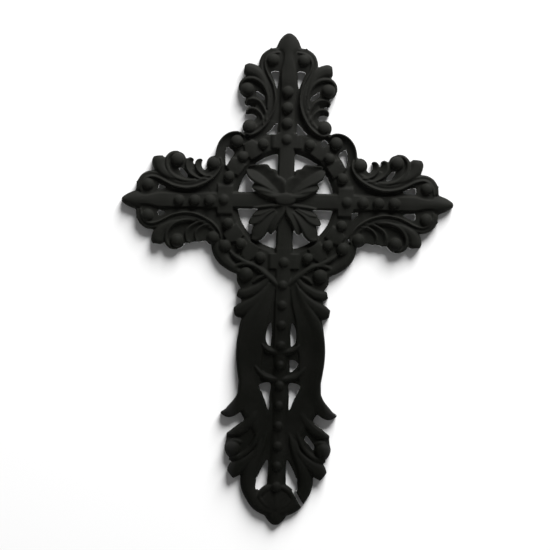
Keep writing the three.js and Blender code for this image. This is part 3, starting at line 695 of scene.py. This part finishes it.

# painted shade low on the shaft and painted light at the top, as a colour gradient up the cross
tone = laid_over(
    fade(axes.outputs["Z"], PAINTED_SHADE_BELOW, PAINTED_SHADE_ENDS, interpolation_type="SMOOTHSTEP"), PAINTED_SHADE_LOW_IRON,
    laid_over(fade(axes.outputs["Z"], PAINTED_LIGHT_FROM, PAINTED_LIGHT_TO), MIDDLE_IRON, PAINTED_LIGHT_TOP_IRON))
# a painted highlight: the outward tips low on the shaft are painted lighter where they face the
# light
painted_highlight_share = both(
    fade(aside.outputs["Value"], PAINTED_HIGHLIGHT_FROM, PAINTED_HIGHLIGHT_TO, 0.0, PAINTED_HIGHLIGHT_SHARE),
    fade(axes.outputs["Z"], PAINTED_HIGHLIGHT_BELOW, NO_PAINTED_HIGHLIGHT_ABOVE, 1.0, 0.0))
tone = laid_over(painted_highlight_share, tone, PAINTED_HIGHLIGHT_IRON)
worn = fade(patches.outputs["Fac"], WORN_FROM, WORN_TO, 0.0, WORN_SHARE)
tone = laid_over(worn, tone, WORN_IRON)
# dust lies a little on faces that look up
dusty = both(
    fade(facing_axes.outputs["Z"], DUST_FROM_SLOPE, DUST_TO_SLOPE, 0.0, DUST_SHARE),
    pitting.outputs["Fac"])
tone = laid_over(dusty, tone, DUST)
links.new(tone, skin.inputs["Base Color"])
roughness = fade(patches.outputs["Fac"], PATCH_LOW, PATCH_HIGH, IRON_SMOOTHEST, IRON_ROUGHEST)
links.new(roughness, skin.inputs["Roughness"])
pit_bump = add_node("ShaderNodeBump", Strength=PITTING_STRENGTH, Distance=PITTING_DEPTH)
links.new(pitting.outputs["Fac"], pit_bump.inputs["Height"])
grain_bump = add_node("ShaderNodeBump", Strength=GRAIN_STRENGTH, Distance=GRAIN_HEIGHT)
links.new(grain.outputs["Fac"], grain_bump.inputs["Height"])
links.new(pit_bump.outputs["Normal"], grain_bump.inputs["Normal"])
links.new(grain_bump.outputs["Normal"], skin.inputs["Normal"])
cast_mesh.materials.clear()
cast_mesh.materials.append(iron)
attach(cross, "root")
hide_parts("cross_casting")

# The wall that the cross hangs on: flat, painted white, just behind the flat back. Seen from
# behind, and by the lamps, it lets the light through, so that the back of the cross can be lit.
WALL_HALF_WIDTH, WALL_GAP = 2.5, 0.0006
WALL_WHITE, WALL_ROUGHNESS, WALL_SHINE = (0.84, 0.84, 0.84, 1), 0.9, 0.1


def flat_sheet(name, half_width, place):
    """A square sheet that stands about the cross and isn't a piece of it."""
    sheet = bmesh.new()
    bmesh.ops.create_grid(sheet, x_segments=1, y_segments=1, size=half_width, matrix=place)
    mesh = bpy.data.meshes.new(name)
    sheet.to_mesh(mesh)
    sheet.free()
    thing = bpy.data.objects.new(name, mesh)
    bpy.context.scene.collection.objects.link(thing)
    return thing


wall = flat_sheet("wall", WALL_HALF_WIDTH,
                  Matrix.Translation((0, WALL_GAP, 0)) @ Matrix.Rotation(math.pi / 2, 4, "X"))
white_paint = bpy.data.materials.new("white_wall")
white_paint.use_nodes = True
wall_nodes, wall_links = white_paint.node_tree.nodes, white_paint.node_tree.links
white = wall_nodes["Principled BSDF"]
white.inputs["Base Color"].default_value = WALL_WHITE
white.inputs["Roughness"].default_value = WALL_ROUGHNESS
white.inputs["Specular IOR Level"].default_value = WALL_SHINE
clear = wall_nodes.new("ShaderNodeBsdfTransparent")
rays = wall_nodes.new("ShaderNodeLightPath")
sides = wall_nodes.new("ShaderNodeNewGeometry")
lets_through = wall_nodes.new("ShaderNodeMath")
lets_through.operation = "MAXIMUM"
wall_links.new(rays.outputs["Is Shadow Ray"], lets_through.inputs[0])
wall_links.new(sides.outputs["Backfacing"], lets_through.inputs[1])
wall_skin = wall_nodes.new("ShaderNodeMixShader")
wall_links.new(lets_through.outputs["Value"], wall_skin.inputs["Fac"])
wall_links.new(white.outputs["BSDF"], wall_skin.inputs[1])
wall_links.new(clear.outputs["BSDF"], wall_skin.inputs[2])
wall_links.new(wall_skin.outputs["Shader"], wall_nodes["Material Output"].inputs["Surface"])
wall.data.materials.append(white_paint)

# The floor: plain, pale and matt, well below the foot of the cross. It is only there to be seen,
# so it throws no light back on the iron.
FLOOR_HALF_WIDTH, FLOOR_DROP = 2.5, 0.62
FLOOR_PALE, FLOOR_ROUGHNESS = (0.6, 0.6, 0.58, 1), 0.9

floor = flat_sheet("floor", FLOOR_HALF_WIDTH, Matrix.Translation((0, 0, -FLOOR_DROP)))
floor.visible_diffuse = False
pale_paint = bpy.data.materials.new("pale_floor")
pale_paint.use_nodes = True
pale = pale_paint.node_tree.nodes["Principled BSDF"]
pale.inputs["Base Color"].default_value = FLOOR_PALE
pale.inputs["Roughness"].default_value = FLOOR_ROUGHNESS
floor.data.materials.append(pale_paint)

# The light: one large soft lamp above and to the right of the front, a weaker one straight behind
# for the views of the back, and the even light of a white room.
LAMP_AIM, LAMP_OFFSET = Vector((0, 0, -0.03)), Vector((1.35, -2.03, 3.78))
LAMP_SIZE, LAMP_POWER = 3.0, 575
BACK_LAMP_PLACE, BACK_LAMP_TURN = Vector((0, 3, 0)), (-math.pi / 2, 0, 0)
BACK_LAMP_SIZE, BACK_LAMP_POWER = 1.6, 160
ROOM_LIGHT = 0.17
ROOM_SEEN = (0.88, 0.88, 0.88, 1)


def round_lamp(name, size, power, place, turn):
    """A round lamp at a place, turned by the given angles from straight down."""
    light = bpy.data.lights.new(name, "AREA")
    light.shape = "DISK"
    light.size = size
    light.energy = power
    lamp = bpy.data.objects.new(name, light)
    lamp.location = place
    lamp.rotation_euler = turn
    bpy.context.scene.collection.objects.link(lamp)


towards_cross = (-LAMP_OFFSET).to_track_quat("-Z", "Y").to_euler()
round_lamp("soft_box", LAMP_SIZE, LAMP_POWER, LAMP_AIM + LAMP_OFFSET, towards_cross)
round_lamp("back_fill", BACK_LAMP_SIZE, BACK_LAMP_POWER, BACK_LAMP_PLACE, BACK_LAMP_TURN)

room = bpy.data.worlds.new("room")
room.use_nodes = True
room_nodes, room_links = room.node_tree.nodes, room.node_tree.links
room_light = room_nodes["Background"]
room_light.inputs["Color"].default_value = (1, 1, 1, 1)
room_light.inputs["Strength"].default_value = ROOM_LIGHT
room_seen = room_nodes.new("ShaderNodeBackground")
room_seen.inputs["Color"].default_value = ROOM_SEEN
to_camera = room_nodes.new("ShaderNodeLightPath")
pick = room_nodes.new("ShaderNodeMixShader")
room_links.new(to_camera.outputs["Is Camera Ray"], pick.inputs["Fac"])
room_links.new(room_light.outputs["Background"], pick.inputs[1])
room_links.new(room_seen.outputs["Background"], pick.inputs[2])
room_links.new(pick.outputs["Shader"], room_nodes["World Output"].inputs["Surface"])
bpy.context.scene.world = room
bpy.context.scene.view_settings.view_transform = "Standard"

# The camera: straight in front, level with the middle of the picture, and leaning as much as the
# photograph leans, so that the cross stands in the picture at the photograph's size and angle.
CAMERA_DISTANCE, IRON_FACE_DEPTH = 1.6, 0.007
CAMERA_SIDE, CAMERA_HEIGHT, CAMERA_LEAN = -0.00726, -0.06323, 1.4
PICTURE_PIXELS, PIXEL_SIZE = 550, 0.000854
SENSOR_WIDTH = 36

camera_data = bpy.data.cameras.new("camera")
camera_data.sensor_width = SENSOR_WIDTH
camera_data.lens = (
    SENSOR_WIDTH * (CAMERA_DISTANCE - IRON_FACE_DEPTH) / (PICTURE_PIXELS * PIXEL_SIZE))
camera = bpy.data.objects.new("camera", camera_data)
camera.location = (CAMERA_SIDE, -CAMERA_DISTANCE, CAMERA_HEIGHT)
camera.rotation_euler = (math.pi / 2, -math.radians(CAMERA_LEAN), 0)
bpy.context.scene.collection.objects.link(camera)
bpy.context.scene.camera = camera
